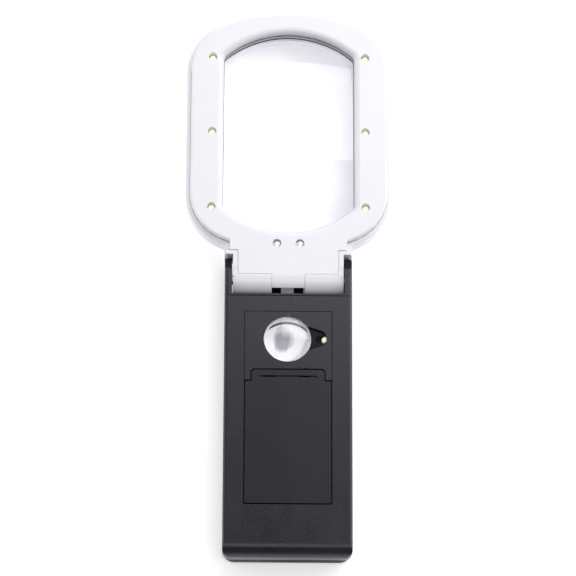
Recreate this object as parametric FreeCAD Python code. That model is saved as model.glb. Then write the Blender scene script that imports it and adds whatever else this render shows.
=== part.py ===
import FreeCAD, Part
import math
import os

# Low vision magnifier: a large rectangular lens in a white illuminated head that folds on a dark,
# battery-powered handle with a small second lens. Millimetres. The magnifier lies on its back:
# +Z is out of the front faces, +Y runs from the handle to the head, +X is to the right.
# The origin is on the table under the middle of the fold axis.

V = FreeCAD.Vector

# Fold hinge
AXIS_Z = 9.0
BARREL_R = 8.0
BARREL_HALF = 23.5
CORE_HALF = 7.05
CORE_R = 6.5
PIN_R = 2.0
PIN_IN = 15.0
PIN_OUT = 26.2
PIN_CLEARANCE = 0.05
WASHER_R = 6.0
WASHER_T = 0.8
EAR_R = 9.25
EAR_IN = 23.9
EAR_OUT = 27.0
EAR_CORNER_R = 2.2
CAP_Y = 3.0
CAP_Z = 12.5
GUARD_HALF_W = 6.9
GUARD_END = 1.5
GUARD_BACK = 0.3
GUARD_FRONT = 1.7
TONGUE_ANGLE = 39.5

# Head
HEAD_Y = 65.0
HEAD_HALF_W = 44.25
HEAD_HALF_H = 56.0
HEAD_ARC_R = 75.0
HEAD_CORNER_R = 24.0
HEAD_BACK = 1.0
RIM_Z = 14.0
FRONT_Z = 17.0
FRAME_WALL = 2.2
FRAME_FLOOR = 3.2
BACK_ROUND = 6.5
BEZEL_INSET = 2.0
BEZEL_ROUND = 0.9
SHOULDER_HALF_W = 27.2
SHOULDER_START = 9.4
SHOULDER_DEPTH = 15.0
STRIP_IN = 21.4
STRIP_Z = 16.7
CHANNEL_ROUND = 4.2

# Lens opening and main lens
OPEN_HALF_W = 28.2
OPEN_HALF_H = 45.2
OPEN_ARC_R = 42.0
OPEN_CORNER_R = 3.0
LIP_ROUND = 2.5
LENS_R = 200.0
LENS_FRONT = 15.5
LENS_BACK = 2.5
LENS_OVERLAP = 1.0
LENS_SEAT = 0.2

# Head lights
LED_X = 33.0
LED_YS = (98.8, 64.6, 30.5)
LED_R = 1.5
LED_HOLE_R = 1.78
BOARD_Z = 9.6
BOARD_T = 1.0
NECK_SCREW_X = 4.9
NECK_SCREW_Y = 14.2
NECK_SCREW_SEAT = 15.0
NECK_SCREW_R = 1.7
BOARD_POST_X = 37.0
BOARD_POST_YS = (40.0, 90.0)
BOARD_POST_R = 1.8

# Handle
HANDLE_HALF_W = 27.0
HANDLE_END = -121.0
THICK = 18.0
PART_Z = 9.0
WALL = 2.0
LIP_Y = -8.35
SEAM_DEPTH = 0.35
SEAM_H = 0.8
SCREW_X = 21.5
SCREW_YS = (-14.0, -112.0)
SCREW_SEAT = 2.8
REACH_X = 30.0

# Front opening, loupe panel and battery door
OPENING_HALF_W = 18.55
OPENING_TOP = -16.2
OPENING_END = -99.45
PANEL_HALF_W = 18.25
PANEL_TOP = -16.4
PANEL_STEP_Y = -46.25
DOOR_STEP_Y = -46.75
DOOR_HALF_W = 17.95
DOOR_END = -98.9
DOOR_T = 2.0
DOOR_GAP = 0.5
TONGUE_HALF_W = 15.3
TONGUE_TOP = -41.8
TONGUE_ROUND = 1.5
LEDGE_Z = 14.6
LEDGE_HALF_W = 17.3
LATCH_Y = -45.0
LATCH_W = 0.75
LATCH_DEPTH = 0.7
LATCH_SLOTS = ((-10.1, -5.1), (4.6, 8.8))

# Loupe
LOUPE_X = -0.3
LOUPE_Y = -28.2
LOUPE_R = 9.85
LOUPE_HOLE_R = 10.0
LOUPE_SPHERE_R = 45.0
LOUPE_BACK = 12.3
LOUPE_FRONT = 17.95
LOUPE_SEAT = 13.2
LOUPE_BORE_R = 9.05
LOUPE_BARREL_R = 11.6
LOBE_X = 12.4
LOBE_Y = -28.1
LOBE_R = 3.8
LOBE_FLOOR = 16.5
LOUPE_LED_X = 14.0
LOUPE_LED_TILT = 48.0
LOUPE_LED_DEPTH = 6.0
LOUPE_LED_LENGTH = 5.3

# Electrics
CELL_R = 5.25
CELL_BODY = 43.5
CELL_PITCH = 11.2
CELL_Z = 8.7
TRAY_TOP = -47.5
TRAY_END = -98.5
PLATE_T = 0.5
PCB_Z = 6.0
PCB_T = 1.2
WIRE_R = 0.65
WIRE_XS = (-2.3, -0.9, 0.5, 1.9)
SWITCH_X = -18.5
SWITCH_Y = -28.0
SWITCH_TRAVEL = 2.5
SCOOP_R = 30.0
SCOOP_DEPTH = 1.0


def box(x0, x1, y0, y1, z0, z1):
    return Part.makeBox(x1 - x0, y1 - y0, z1 - z0, V(x0, y0, z0))


def cyl_x(x0, x1, r):
    """Cylinder about the fold axis."""
    return Part.makeCylinder(r, x1 - x0, V(x0, 0, AXIS_Z), V(1, 0, 0))


def cyl_z(x, y, z0, z1, r):
    return Part.makeCylinder(r, z1 - z0, V(x, y, z0), V(0, 0, 1))


def mirrored(shape):
    return shape.mirror(V(0, 0, 0), V(1, 0, 0))


def fused(shapes):
    whole = shapes[0]
    for shape in shapes[1:]:
        whole = whole.fuse(shape)
    return whole.removeSplitter()


def on_both_sides(shape):
    return [shape, mirrored(shape)]


def corner_points(corners, i):
    """Start, middle and end of the rounding at one corner of a closed outline."""
    a, b, r = corners[i]
    before = corners[i - 1]
    after = corners[(i + 1) % len(corners)]
    here = V(a, b, 0)
    if r == 0:
        return here, here, here
    u = V(before[0] - a, before[1] - b, 0).normalize()
    w = V(after[0] - a, after[1] - b, 0).normalize()
    half = u.getAngle(w) / 2
    reach = r / math.tan(half)
    centre = here + (u + w).normalize() * (r / math.sin(half))
    middle = centre + (here - centre).normalize() * r
    return here + u * reach, middle, here + w * reach


def rounded_prism(corners, place, along):
    """Prism over a polygon given as (a, b, rounding) corners; place maps (a, b) into space."""
    points = [corner_points(corners, i) for i in range(len(corners))]
    edges = []
    for i, (start, middle, end) in enumerate(points):
        if start != end:
            edges.append(Part.Arc(place(start), place(middle), place(end)).toShape())
        following = points[(i + 1) % len(points)][0]
        if end.distanceToPoint(following) > 1e-6:
            edges.append(Part.makeLine(place(end), place(following)))
    return Part.Face(Part.Wire(edges)).extrude(along)


def plan_prism(corners, z0, z1):
    return rounded_prism(corners, lambda p: V(p.x, p.y, z0), V(0, 0, z1 - z0))


def side_prism(corners, x0, x1):
    """Corners are (y, z, rounding)."""
    return rounded_prism(corners, lambda p: V(x0, p.x, p.y), V(x1 - x0, 0, 0))


def screen_prism(half_w, half_h, arc_r, corner_r, z0, z1):
    """Prism with straight sides, bowed ends and rounded corners, centred on the main lens."""
    corner_x = half_w - corner_r
    arc_y = half_h - arc_r
    rise = math.sqrt((arc_r - corner_r) ** 2 - corner_x ** 2)
    corner_y = arc_y + rise
    ux = corner_x / (arc_r - corner_r)
    uy = rise / (arc_r - corner_r)
    touch = V(arc_r * ux, arc_y + arc_r * uy, 0)
    bend = V(1 + ux, uy, 0).normalize() * corner_r + V(corner_x, corner_y, 0)

    def at(x, y):
        return V(x, HEAD_Y + y, z0)

    edges = [Part.makeLine(at(half_w, -corner_y), at(half_w, corner_y))]
    edges.append(Part.Arc(at(half_w, corner_y), at(bend.x, bend.y), at(touch.x, touch.y)).toShape())
    edges.append(Part.Arc(at(touch.x, touch.y), at(0, half_h), at(-touch.x, touch.y)).toShape())
    edges.append(Part.Arc(at(-touch.x, touch.y), at(-bend.x, bend.y), at(-half_w, corner_y)).toShape())
    edges.append(Part.makeLine(at(-half_w, corner_y), at(-half_w, -corner_y)))
    edges.append(Part.Arc(at(-half_w, -corner_y), at(-bend.x, -bend.y), at(-touch.x, -touch.y)).toShape())
    edges.append(Part.Arc(at(-touch.x, -touch.y), at(0, -half_h), at(touch.x, -touch.y)).toShape())
    edges.append(Part.Arc(at(touch.x, -touch.y), at(bend.x, -bend.y), at(half_w, -corner_y)).toShape())
    return Part.Face(Part.Wire(edges)).extrude(V(0, 0, z1 - z0))


def head_prism(inset, z0, z1):
    return screen_prism(
        HEAD_HALF_W - inset, HEAD_HALF_H - inset, HEAD_ARC_R - inset, HEAD_CORNER_R - inset, z0, z1
    )


def opening_prism(outset, z0, z1):
    return screen_prism(
        OPEN_HALF_W + outset, OPEN_HALF_H + outset, OPEN_ARC_R + outset, OPEN_CORNER_R + outset, z0, z1
    )


def front_ball():
    return Part.makeSphere(LENS_R, V(0, HEAD_Y, LENS_FRONT - LENS_R))


def back_ball():
    return Part.makeSphere(LENS_R, V(0, HEAD_Y, LENS_BACK + LENS_R))


def edges_at(shape, z, reach=None):
    """Level edges at height z, kept within reach of the lens centre along X when it is given."""
    found = []
    for edge in shape.Edges:
        limits = edge.BoundBox
        if abs(limits.ZMin - z) > 1e-4 or abs(limits.ZMax - z) > 1e-4:
            continue
        if reach is None or max(abs(limits.XMin), abs(limits.XMax)) < reach:
            found.append(edge)
    return found


def sector(from_deg, to_deg, x0, x1):
    """Wedge about the fold axis; angles turn from the front towards the handle."""
    steps = 6
    far = 12.0
    corners = [(0.0, AXIS_Z, 0)]
    for i in range(steps + 1):
        a = math.radians(from_deg + (to_deg - from_deg) * i / steps)
        corners.append((-far * math.sin(a), AXIS_Z + far * math.cos(a), 0))
    return side_prism(corners, x0, x1)


def swept_wire(points, r):
    """Round wire along straight runs joined by tangent arcs."""
    spots = [V(*p) for p in points]
    edges = []
    at = spots[0]
    for before, here, after in zip(spots, spots[1:], spots[2:]):
        u = (before - here).normalize()
        w = (after - here).normalize()
        turn = math.pi - u.getAngle(w)
        reach = 0.45 * min(before.distanceToPoint(here), here.distanceToPoint(after))
        bend_r = reach / math.tan(turn / 2)
        centre = here + (u + w).normalize() * (bend_r / math.cos(turn / 2))
        middle = centre + (here - centre).normalize() * bend_r
        edges.append(Part.makeLine(at, here + u * reach))
        edges.append(Part.Arc(here + u * reach, middle, here + w * reach).toShape())
        at = here + w * reach
    edges.append(Part.makeLine(at, spots[-1]))
    ring = Part.Wire(Part.makeCircle(r, spots[0], spots[1] - spots[0]))
    return Part.Wire(edges).makePipeShell([ring], True, True)


# ---------------------------------------------------------------- head

def rear_frame():
    shell = head_prism(0, HEAD_BACK, RIM_Z)
    shell = shell.makeFillet(BACK_ROUND, edges_at(shell, HEAD_BACK))
    shell = shell.makeFillet(0.8, edges_at(shell, RIM_Z))
    w = SHOULDER_HALF_W
    y0 = SHOULDER_START
    y1 = y0 + SHOULDER_DEPTH
    shoulders = side_prism(
        [(y0, HEAD_BACK, 1.5), (y1, HEAD_BACK, 0), (y1, RIM_Z, 0), (y0, RIM_Z, 0.6)], -w, w
    )
    shoulders = shoulders.common(rounded_prism(
        [(-w, RIM_Z, 0), (w, RIM_Z, 0), (w, HEAD_BACK, 5.0), (-w, HEAD_BACK, 5.0)],
        lambda p: V(p.x, y0 - 1, p.y), V(0, SHOULDER_DEPTH + 2, 0),
    ))
    stem = box(-BARREL_HALF, BARREL_HALF, 0, y0 + 1, HEAD_BACK, RIM_Z)
    strips = on_both_sides(box(STRIP_IN, BARREL_HALF, 0, y0 + 1, RIM_Z - 2, STRIP_Z))
    ridges = on_both_sides(box(STRIP_IN, w - 0.6, y0, y0 + 1.7, RIM_Z - 2, STRIP_Z))
    barrel = cyl_x(-BARREL_HALF, BARREL_HALF, BARREL_R)
    frame = fused([shell, shoulders, stem, barrel] + strips + ridges)

    channel = head_prism(FRAME_WALL, FRAME_FLOOR, FRONT_Z)
    channel = channel.makeFillet(CHANNEL_ROUND, edges_at(channel, FRAME_FLOOR))
    channel = channel.cut(opening_prism(2.4, 0, FRONT_Z + 1))
    channel = channel.cut(box(-9, 9, 9, 18.5, 0, BOARD_Z))
    for side in (-1, 1):
        channel = channel.cut(cyl_z(side * NECK_SCREW_X, NECK_SCREW_Y, 0, RIM_Z, BOARD_POST_R))
        for y in BOARD_POST_YS:
            channel = channel.cut(cyl_z(side * BOARD_POST_X, y, 0, BOARD_Z, BOARD_POST_R))
    frame = frame.cut(channel)

    pocket = opening_prism(LENS_OVERLAP + LENS_SEAT, 0, FRONT_Z).common(back_ball())
    frame = frame.cut(pocket).cut(opening_prism(0, 0, FRONT_Z))
    frame = frame.cut(box(-STRIP_IN, STRIP_IN, 0.5, 11.3, RIM_Z, FRONT_Z + 1))
    frame = frame.cut(cyl_x(-CORE_HALF, CORE_HALF, CORE_R))
    frame = frame.cut(sector(-8, 200, -CORE_HALF, CORE_HALF))
    frame = frame.cut(box(-3.2, 3.2, 4, 14.5, 7.6, BOARD_Z + 0.01))
    for side in (-1, 1):
        frame = frame.cut(cyl_z(side * NECK_SCREW_X, NECK_SCREW_Y, 7.5, RIM_Z, 0.8))
    recess = cyl_x(BARREL_HALF - WASHER_T - 0.1, BARREL_HALF, WASHER_R + 0.2)
    bores = cyl_x(PIN_IN, BARREL_HALF, PIN_R).fuse(recess)
    for bore in on_both_sides(bores):
        frame = frame.cut(bore)
    return frame.removeSplitter()


def bezel():
    plate = head_prism(BEZEL_INSET, RIM_Z, FRONT_Z)
    plate = plate.makeFillet(BEZEL_ROUND, edges_at(plate, FRONT_Z))
    skirt = opening_prism(LENS_OVERLAP, 8, RIM_Z)
    x = STRIP_IN - 0.1
    y = SHOULDER_START + 1.8
    far = SHOULDER_START + SHOULDER_DEPTH
    neck = plan_prism(
        [(-25, far, 0), (-25, y, 0.4), (-x, y, 0), (-x, 0.6, 0),
         (x, 0.6, 0), (x, y, 0), (25, y, 0.4), (25, far, 0)],
        RIM_Z, FRONT_Z,
    )
    neck = neck.cut(opening_prism(1.5, RIM_Z - 1, FRONT_Z + 1))
    plate = plate.fuse(skirt).cut(opening_prism(0, 0, FRONT_Z + 1)).removeSplitter()
    plate = plate.makeFillet(LIP_ROUND, edges_at(plate, FRONT_Z, OPEN_HALF_W + 0.1))
    inner_edge = opening_prism(LIP_ROUND + 0.05, RIM_Z - 1, FRONT_Z + 1)
    tongue = cyl_x(-6.95, 6.95, BARREL_R).cut(cyl_x(-7, 7, CORE_R + 0.1))
    tongue = tongue.common(sector(-6, TONGUE_ANGLE, -7, 7))
    whole = fused([plate, neck.cut(inner_edge), tongue])
    whole = whole.cut(front_ball())
    for y in LED_YS:
        for side in (-1, 1):
            whole = whole.cut(cyl_z(side * LED_X, y, RIM_Z, FRONT_Z, LED_HOLE_R))
    for side in (-1, 1):
        x = side * NECK_SCREW_X
        whole = whole.cut(cyl_z(x, NECK_SCREW_Y, RIM_Z, FRONT_Z, 0.9))
        whole = whole.cut(cyl_z(x, NECK_SCREW_Y, NECK_SCREW_SEAT, FRONT_Z, NECK_SCREW_R + 0.15))
    return whole


def main_lens():
    blank = opening_prism(LENS_OVERLAP, 0, THICK)
    return front_ball().common(back_ball()).common(blank)


def led_board():
    board = head_prism(2.5, BOARD_Z, BOARD_Z + BOARD_T)
    board = board.cut(opening_prism(2.8, 0, FRONT_Z))
    board = board.common(box(-50, 50, 0, 104, 0, FRONT_Z))
    for side in (-1, 1):
        board = board.cut(cyl_z(side * NECK_SCREW_X, NECK_SCREW_Y, 0, FRONT_Z, 1.95))
    return board


def led(base, direction, length):
    """3 mm light-emitting diode: flange, straight body and round tip."""
    flange = Part.makeCylinder(1.9, 1.0, base, direction)
    body = Part.makeCylinder(LED_R, length - LED_R, base, direction)
    tip = Part.makeSphere(LED_R, base + direction * (length - LED_R))
    return flange.fuse(body).fuse(tip).removeSplitter()


def head_leds():
    lamps = []
    for y in LED_YS:
        for side in (-1, 1):
            lamps.append(led(V(side * LED_X, y, BOARD_Z + BOARD_T), V(0, 0, 1), 5.0))
    return Part.makeCompound(lamps)


def pan_screw(x, y, seat, up, head_r, head_t, shank_r, shank):
    """Cross-recess screw; seat is the underside of its head, up is +1 when the head faces +Z."""
    out = V(0, 0, up)
    foot = V(x, y, seat)
    head = Part.makeCylinder(head_r, head_t, foot, out)
    dome_r = 2.2 * head_r
    head = head.common(Part.makeSphere(dome_r, foot + out * (head_t - dome_r)))
    stem = Part.makeCylinder(shank_r, shank, foot, out * -1)
    screw = head.fuse(stem)
    z0 = seat + up * head_t * 0.45
    z1 = seat + up * (head_t + 1)
    low, high = min(z0, z1), max(z0, z1)
    arm = head_r * 0.62
    slot = head_r * 0.13
    screw = screw.cut(box(x - arm, x + arm, y - slot, y + slot, low, high))
    return screw.cut(box(x - slot, x + slot, y - arm, y + arm, low, high))


def neck_screws():
    screws = []
    for side in (-1, 1):
        x = side * NECK_SCREW_X
        screws.append(pan_screw(x, NECK_SCREW_Y, NECK_SCREW_SEAT, 1, NECK_SCREW_R, 1.1, 0.8, 6.8))
    return Part.makeCompound(screws)


def hinge_pins():
    return Part.makeCompound(on_both_sides(cyl_x(PIN_IN, PIN_OUT, PIN_R)))


def hinge_washers():
    washer = cyl_x(BARREL_HALF - 0.1 - WASHER_T, BARREL_HALF - 0.1, WASHER_R)
    washer = washer.cut(cyl_x(PIN_IN, BARREL_HALF, PIN_R + 0.02))
    return Part.makeCompound(on_both_sides(washer))


def head_wires():
    z = BOARD_Z - WIRE_R
    return Part.makeCompound(
        [Part.makeCylinder(WIRE_R, 12.6, V(x, 1.2, z), V(0, 1, 0)) for x in WIRE_XS]
    )


# -------------------------------------------------------------- handle

def handle_block(front, inset=0.0):
    """Front or rear half of the handle's outside, or the same drawn in by a wall."""
    w = HANDLE_HALF_W - inset
    y0 = HANDLE_END + inset
    y1 = LIP_Y - inset if inset else EAR_R
    if front:
        outer, radii = THICK - inset, (3.0, 5.5, 1.35)
    else:
        outer, radii = inset, (6.0, 3.5, 2.5)
    plan_r, end_r, side_r = [max(r - inset, 0.3) for r in radii]
    plan = plan_prism([(-w, y1, 0), (-w, y0, plan_r), (w, y0, plan_r), (w, y1, 0)], 0, THICK)
    profile = side_prism([(y0, PART_Z, 0), (y1, PART_Z, 0), (y1, outer, 0), (y0, outer, end_r)], -w, w)
    section = rounded_prism(
        [(-w, PART_Z, 0), (w, PART_Z, 0), (w, outer, side_r), (-w, outer, side_r)],
        lambda p: V(p.x, y0, p.y), V(0, y1 - y0, 0),
    )
    return plan.common(profile).common(section)


def ears():
    """The two hinge ears, cut to the handle's outside."""
    blank = box(EAR_IN, EAR_OUT, LIP_Y, 0, 0, THICK).fuse(cyl_x(EAR_IN, EAR_OUT, EAR_R))
    plan = plan_prism(
        [(-EAR_OUT, LIP_Y, 0), (EAR_OUT, LIP_Y, 0),
         (EAR_OUT, EAR_R, EAR_CORNER_R), (-EAR_OUT, EAR_R, EAR_CORNER_R)],
        0, THICK,
    )
    outside = handle_block(True).fuse(handle_block(False)).common(plan)
    return blank.fuse(mirrored(blank)).common(outside).removeSplitter()


def shell_posts(z0, z1, r):
    return [cyl_z(side * SCREW_X, y, z0, z1, r) for y in SCREW_YS for side in (-1, 1)]


def front_shell():
    body = handle_block(True).common(box(-REACH_X, REACH_X, HANDLE_END, LIP_Y, PART_Z, THICK))
    body = body.cut(handle_block(True, WALL))
    inner_z = THICK - WALL
    ledge = box(-20.5, 20.5, OPENING_END + 0.4, OPENING_TOP + 1.4, LEDGE_Z, inner_z)
    ledge = ledge.cut(box(-LEDGE_HALF_W, LEDGE_HALF_W, OPENING_END - 1, OPENING_TOP - 1.2, 14, THICK))
    ledge = ledge.cut(box(16, 21, LOBE_Y - 5.0, LOBE_Y + 5.0, 14, THICK))
    ledge = ledge.cut(cyl_z(LOUPE_X, LOUPE_Y, 14, THICK, LOUPE_BARREL_R + 0.3))
    caps = ears().common(box(-REACH_X, REACH_X, LIP_Y, CAP_Y, CAP_Z, THICK))
    body = fused([body, ledge, caps] + shell_posts(PART_Z, inner_z, 2.6))
    window = [(-OPENING_HALF_W, OPENING_END, 0.6), (OPENING_HALF_W, OPENING_END, 0.6),
              (OPENING_HALF_W, OPENING_TOP, 0.35), (-OPENING_HALF_W, OPENING_TOP, 0.35)]
    body = body.cut(plan_prism(window, inner_z, THICK + 1))
    body = body.cut(box(-26.2, 26.2, LIP_Y - 1.15, LIP_Y - 0.85, THICK - 0.5, THICK + 1))
    for hole in shell_posts(PART_Z, 14.2, 1.0):
        body = body.cut(hole)
    return body


def rear_shell():
    body = handle_block(False).common(box(-REACH_X, REACH_X, HANDLE_END, LIP_Y, 0, PART_Z))
    body = body.cut(handle_block(False, WALL))
    cap_room = box(-REACH_X, REACH_X, LIP_Y - 1, CAP_Y + 0.12, CAP_Z - 0.12, THICK + 1)
    ear_pair = ears().cut(cap_room)
    posts = [cyl_z(side * 14.5, -43.5, WALL, PCB_Z, 1.6) for side in (-1, 1)]
    posts += [cyl_z(side * 20.5, -19.6, WALL, PCB_Z, 1.6) for side in (-1, 1)]
    guard = box(-GUARD_HALF_W, GUARD_HALF_W, LIP_Y - WALL / 2, GUARD_END, GUARD_BACK, GUARD_FRONT)
    body = fused([body, ear_pair, guard] + posts + shell_posts(WALL, PART_Z, 2.8))
    for hole in shell_posts(0, SCREW_SEAT, 2.3) + shell_posts(0, PART_Z, 1.15):
        body = body.cut(hole)
    seam = handle_block(False).cut(handle_block(False, SEAM_DEPTH)).common(
        box(-REACH_X, REACH_X, HANDLE_END - 1, LIP_Y - SEAM_DEPTH, PART_Z - SEAM_H, PART_Z + 1)
    )
    body = body.cut(seam)
    body = body.cut(cyl_z(LOUPE_X, LOUPE_Y, -1, WALL + 1, 8.6))
    scoop = Part.makeSphere(SCOOP_R, V(SWITCH_X, SWITCH_Y, SCOOP_DEPTH - SCOOP_R))
    body = body.cut(scoop)
    body = body.cut(box(SWITCH_X - 1.9, SWITCH_X + 1.9, SWITCH_Y - 5.4, SWITCH_Y + 5.4, -1, WALL + 0.5))
    wire_slot = box(-CORE_HALF, CORE_HALF, LIP_Y - WALL - 0.1, LIP_Y + 0.1, WALL, 5.4)
    body = body.cut(wire_slot)
    for bore in on_both_sides(cyl_x(EAR_IN - 0.1, PIN_OUT + 0.2, PIN_R + PIN_CLEARANCE)):
        body = body.cut(bore)
    return body.removeSplitter()


def loupe_axis_point(depth):
    """Point on the loupe lamp's axis, by its depth below the recess floor."""
    a = math.radians(LOUPE_LED_TILT)
    return V(LOUPE_LED_X + depth * math.sin(a), LOBE_Y, LOBE_FLOOR - depth * math.cos(a))


def loupe_outward():
    return (loupe_axis_point(0) - loupe_axis_point(1)).normalize()


def loupe_panel():
    w = PANEL_HALF_W
    t = TONGUE_HALF_W + DOOR_GAP
    step = PANEL_STEP_Y
    top = TONGUE_TOP + DOOR_GAP
    corners = [(-w, PANEL_TOP, 0.3), (-w, step, 0.3), (-t, step, 0.3), (-t, top, 1.9),
               (t, top, 1.9), (t, step, 0.3), (w, step, 0.3), (w, PANEL_TOP, 0.3)]
    inner_z = THICK - WALL
    panel = plan_prism(corners, inner_z, THICK)
    notch = box(6.8, 7.6, top - 0.1, top + 0.45, inner_z - 1, THICK + 1)
    boss = cyl_z(LOBE_X, LOBE_Y, LEDGE_Z, inner_z, LOBE_R + 0.9)
    sleeve = Part.makeCylinder(2.6, 5.6, loupe_axis_point(4.6), loupe_outward())
    sleeve = sleeve.common(box(LOUPE_X + LOUPE_BARREL_R + 0.6, REACH_X, -40, -20, 0, inner_z + 0.5))
    panel = fused([panel, boss, sleeve]).cut(notch)
    near = LOUPE_X + 8.3
    mouth = LOBE_X + 0.5
    flare = [(near, LOBE_Y - 5.4, 0), (mouth, LOBE_Y - 3.77, 0),
             (mouth, LOBE_Y + 3.77, 0), (near, LOBE_Y + 5.4, 0)]
    recess = plan_prism(flare, LOBE_FLOOR, THICK + 1)
    recess = recess.fuse(cyl_z(LOBE_X, LOBE_Y, LOBE_FLOOR, THICK + 1, LOBE_R))
    panel = panel.cut(recess)
    panel = panel.cut(cyl_z(LOUPE_X, LOUPE_Y, inner_z, THICK + 1, LOUPE_HOLE_R))
    panel = panel.cut(cyl_z(LOUPE_X, LOUPE_Y, 0, inner_z, LOUPE_BARREL_R + 0.1))
    panel = panel.cut(Part.makeCylinder(1.72, 12.0, loupe_axis_point(6.0), loupe_outward()))
    return panel.cut(Part.makeCylinder(2.0, 3.0, loupe_axis_point(8.0), loupe_outward()))


def loupe_lens():
    rod = cyl_z(LOUPE_X, LOUPE_Y, 0, THICK, LOUPE_R)
    front = Part.makeSphere(LOUPE_SPHERE_R, V(LOUPE_X, LOUPE_Y, LOUPE_FRONT - LOUPE_SPHERE_R))
    back = Part.makeSphere(LOUPE_SPHERE_R, V(LOUPE_X, LOUPE_Y, LOUPE_BACK + LOUPE_SPHERE_R))
    return rod.common(front).common(back)


def loupe_barrel():
    tube = cyl_z(LOUPE_X, LOUPE_Y, WALL, THICK - WALL, LOUPE_BARREL_R)
    tube = tube.cut(cyl_z(LOUPE_X, LOUPE_Y, LOUPE_SEAT, THICK, LOUPE_R + 0.05))
    return tube.cut(cyl_z(LOUPE_X, LOUPE_Y, 0, THICK, LOUPE_BORE_R))


def loupe_led():
    base = loupe_axis_point(LOUPE_LED_DEPTH)
    parts = [led(base, loupe_outward(), LOUPE_LED_LENGTH)]
    for dy in (-1.0, 1.0):
        y = base.y + dy
        x = base.x + 1.5
        route = [(base.x - 0.3, y, base.z + 0.27), (x, y, base.z - 1.35), (x, y, PCB_Z + PCB_T)]
        parts.append(swept_wire(route, 0.25))
    return fused(parts)


def battery_door():
    w = DOOR_HALF_W
    t = TONGUE_HALF_W
    step = DOOR_STEP_Y
    corners = [(-w, DOOR_END, 0.5), (w, DOOR_END, 0.5), (w, step, 0.5), (t, step, 0),
               (t, TONGUE_TOP, TONGUE_ROUND), (-t, TONGUE_TOP, TONGUE_ROUND), (-t, step, 0), (-w, step, 0.5)]
    door = plan_prism(corners, THICK - DOOR_T, THICK)
    tabs = []
    for side in (-1, 1):
        x = side * 11
        tabs.append(box(x - 2, x + 2, -101, -97.4, LEDGE_Z - 0.1, 15.7))
        tabs.append(box(x - 2, x + 2, -98.8, -97.4, LEDGE_Z - 0.1, 16.5))
    ribs = [box(x - 0.5, x + 0.5, -92, -52, LEDGE_Z, 16.5) for x in (-CELL_PITCH / 2, CELL_PITCH / 2)]
    door = fused([door] + tabs + ribs)
    y0 = LATCH_Y
    y1 = LATCH_Y + LATCH_W
    shallow = THICK - LATCH_DEPTH
    door = door.cut(box(-12.4, 12.2, y0 + 0.1, y1 - 0.05, shallow, THICK + 1))
    for x0, x1 in LATCH_SLOTS:
        door = door.cut(box(x0, x1, y0, y1, 14, THICK + 1))
    return door.cut(box(11.6, 12.2, y0 - 0.6, y1 - 0.05, shallow, THICK + 1))


def battery_tray():
    tray = box(-17.9, 17.9, TRAY_END, TRAY_TOP, WALL, 13.2)
    tray = tray.cut(box(-16.8, 16.8, TRAY_END + 0.8, TRAY_TOP - 0.8, 3.3, 14))
    ribs = []
    for x in (-CELL_PITCH / 2, CELL_PITCH / 2):
        ribs.append(box(x - 0.25, x + 0.25, TRAY_END + 0.5, TRAY_TOP - 0.5, 3, 6.4))
    tray = fused([tray] + ribs)
    tray = tray.cut(Part.makeCylinder(0.75, 3, V(-CELL_PITCH, TRAY_TOP + 1, CELL_Z), V(0, -1, 0)))
    return tray.cut(Part.makeCylinder(0.75, 3, V(CELL_PITCH, TRAY_END - 1, CELL_Z), V(0, 1, 0)))


def battery_cells():
    """Three AAA cells; the middle one lies the other way round."""
    cells = []
    for i, x in enumerate((-CELL_PITCH, 0, CELL_PITCH)):
        up = -1 if i == 1 else 1
        tip = TRAY_TOP - 0.8 - PLATE_T if up == 1 else TRAY_END + 0.8 + PLATE_T
        inward = V(0, -up, 0)
        nub = Part.makeCylinder(1.9, 1.5, V(x, tip, CELL_Z), inward)
        body = Part.makeCylinder(CELL_R, CELL_BODY, V(x, tip - up, CELL_Z), inward)
        body = body.makeFillet(0.5, body.Edges[0:1])
        cells.append(nub.fuse(body))
    return Part.makeCompound(cells)


def contact_springs():
    """One coil per cell; the middle one is at the other end of the tray."""
    top = TRAY_TOP - 0.8 - PLATE_T
    end = TRAY_END + 0.8 + PLATE_T
    reach = top - end - CELL_BODY - 1.0
    turns = 2
    steps = 6
    springs = []
    for x, start, along in ((-CELL_PITCH, end, 1), (0, top, -1), (CELL_PITCH, end, 1)):
        points = []
        for i in range(turns * steps + 1):
            a = 2 * math.pi * i / steps
            y = start + along * (0.32 + (reach - 0.64) * i / (turns * steps))
            points.append((x + 2.6 * math.cos(a), y, CELL_Z + 2.6 * math.sin(a)))
        springs.append(swept_wire(points, 0.3))
    return Part.makeCompound(springs)


def contact_plates():
    top = TRAY_TOP - 0.8
    end = TRAY_END + 0.8
    half = 4.2
    plates = [
        box(-CELL_PITCH - half, -CELL_PITCH + half, top - PLATE_T, top, 4.0, 12.6),
        box(-half, CELL_PITCH + half, top - PLATE_T, top, 6.5, 12.6),
        box(-CELL_PITCH - half, half, end, end + PLATE_T, 6.5, 12.6),
        box(CELL_PITCH - half, CELL_PITCH + half, end, end + PLATE_T, 4.0, 12.6),
    ]
    return Part.makeCompound(plates)


def battery_leads():
    top = TRAY_TOP - 0.8
    z = PCB_Z + PCB_T + 0.5
    plus = swept_wire(
        [(-CELL_PITCH, top, CELL_Z), (-CELL_PITCH, top + 3.0, CELL_Z), (-CELL_PITCH, top + 6.2, z)], 0.5,
    )
    minus = swept_wire(
        [(CELL_PITCH, TRAY_END + 0.8, CELL_Z), (CELL_PITCH, -102.5, CELL_Z), (20.8, -102.5, CELL_Z),
         (21.3, -50, CELL_Z), (20.4, -41.5, z)], 0.5,
    )
    return Part.makeCompound([plus, minus])


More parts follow.
